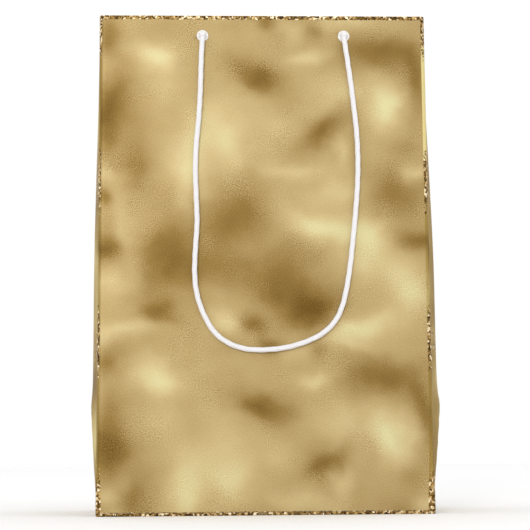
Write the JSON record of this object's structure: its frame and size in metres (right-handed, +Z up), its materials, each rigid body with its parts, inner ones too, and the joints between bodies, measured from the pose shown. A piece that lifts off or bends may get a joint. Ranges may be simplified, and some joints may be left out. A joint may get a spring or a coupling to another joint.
{
  "type": "gift bag",
  "caption": "Tall gold foil paper carrier bag with gusseted sides, a folded flat-bottomed base and rope handles through eyelets; it folds flat.",
  "frame": {"origin": "centre of the base, on the surface the bag stands on", "axes": "+Z up, front towards -Y, +X to the right as seen from the front"},
  "size_m": [0.203, 0.1292, 0.308],
  "materials": {
    "gold_paper": "gold foil print, satin, with a soft cloudy sheen",
    "gusset_paper": "gold foil print with glitter flecks, satin",
    "white_paper": "uncoated white, matte",
    "card": "uncoated pale card, matte",
    "eyelet_ring": "white enamel, semi-gloss",
    "rope": "soft white braided cord, matte"
  },
  "bodies": {
    "back_wall": {"back_panel": "gold_paper", "back_hem": "white_paper", "back_card": "card", "back_eyelets": "eyelet_ring", "back_washers": "eyelet_ring", "back_knots": "rope", "side_seam_flap": "white_paper"},
    "back_foot": {"back_lower_panel": "gold_paper"},
    "base": {"bottom_back_flap": "gold_paper", "bottom_front_flap": "gold_paper", "bottom_left_flap": "white_paper", "bottom_right_flap": "white_paper", "base_board": "card"},
    "front_wall": {"front_panel": "gold_paper", "front_hem": "white_paper", "front_card": "card", "front_eyelets": "eyelet_ring", "front_washers": "eyelet_ring", "front_knots": "rope"},
    "front_handle": {"front_handle_cord": "rope"},
    "back_handle": {"back_handle_cord": "rope"},
    "right_gusset_rear": {"right_gusset_rear_panel": "gusset_paper", "right_gusset_rear_hem": "white_paper"},
    "right_gusset_front": {"right_gusset_front_panel": "gusset_paper", "right_gusset_front_hem": "white_paper"},
    "left_gusset_rear": {"left_gusset_rear_panel": "gusset_paper", "left_gusset_rear_hem": "white_paper"},
    "left_gusset_front": {"left_gusset_front_panel": "gusset_paper", "left_gusset_front_hem": "white_paper"}
  },
  "joints": [
    {"name": "fold_flat", "type": "hinge", "parent": "back_wall", "child": "right_gusset_rear", "pos_m": [0.1012, 0.0602, 0.155], "axis": [0, 0, -1], "range_deg": [0, 82]},
    {"name": "right_middle_crease", "type": "hinge", "parent": "right_gusset_rear", "child": "right_gusset_front", "pos_m": [0.1015, 0, 0.155], "axis": [0, 0, 1], "range_deg": [0, 164]},
    {"name": "right_front_crease", "type": "hinge", "parent": "right_gusset_front", "child": "front_wall", "pos_m": [0.1012, -0.0602, 0.155], "axis": [0, 0, -1], "range_deg": [0, 82]},
    {"name": "left_rear_crease", "type": "hinge", "parent": "back_wall", "child": "left_gusset_rear", "pos_m": [-0.1012, 0.0602, 0.155], "axis": [0, 0, 1], "range_deg": [0, 82]},
    {"name": "left_front_crease", "type": "hinge", "parent": "front_wall", "child": "left_gusset_front", "pos_m": [-0.1012, -0.0602, 0.155], "axis": [0, 0, -1], "range_deg": [0, 82]},
    {"name": "back_level_crease", "type": "hinge", "parent": "back_wall", "child": "back_foot", "pos_m": [0, 0.0605, 0.0605], "axis": [1, 0, 0], "range_deg": [0, 172.3]},
    {"name": "base_rear_crease", "type": "hinge", "parent": "back_foot", "child": "base", "pos_m": [0, 0.0602, 0.00185], "axis": [-1, 0, 0], "range_deg": [0, 86.2]},
    {"name": "front_handle_swing", "type": "hinge", "parent": "front_wall", "child": "front_handle", "pos_m": [0.0065, -0.0631, 0.2945], "axis": [-1, 0, 0], "range_deg": [0, 180]},
    {"name": "back_handle_swing", "type": "hinge", "parent": "back_wall", "child": "back_handle", "pos_m": [-0.0065, 0.0631, 0.2945], "axis": [1, 0, 0], "range_deg": [0, 180]}
  ],
  "couplings": [
    {"joint": "right_middle_crease", "follows": "fold_flat", "ratio": 2},
    {"joint": "right_front_crease", "follows": "fold_flat", "ratio": 1},
    {"joint": "left_rear_crease", "follows": "fold_flat", "ratio": 1},
    {"joint": "left_front_crease", "follows": "fold_flat", "ratio": 1},
    {"joint": "back_level_crease", "follows": "fold_flat", "ratio": 2.1},
    {"joint": "base_rear_crease", "follows": "fold_flat", "ratio": 1.05}
  ]
}
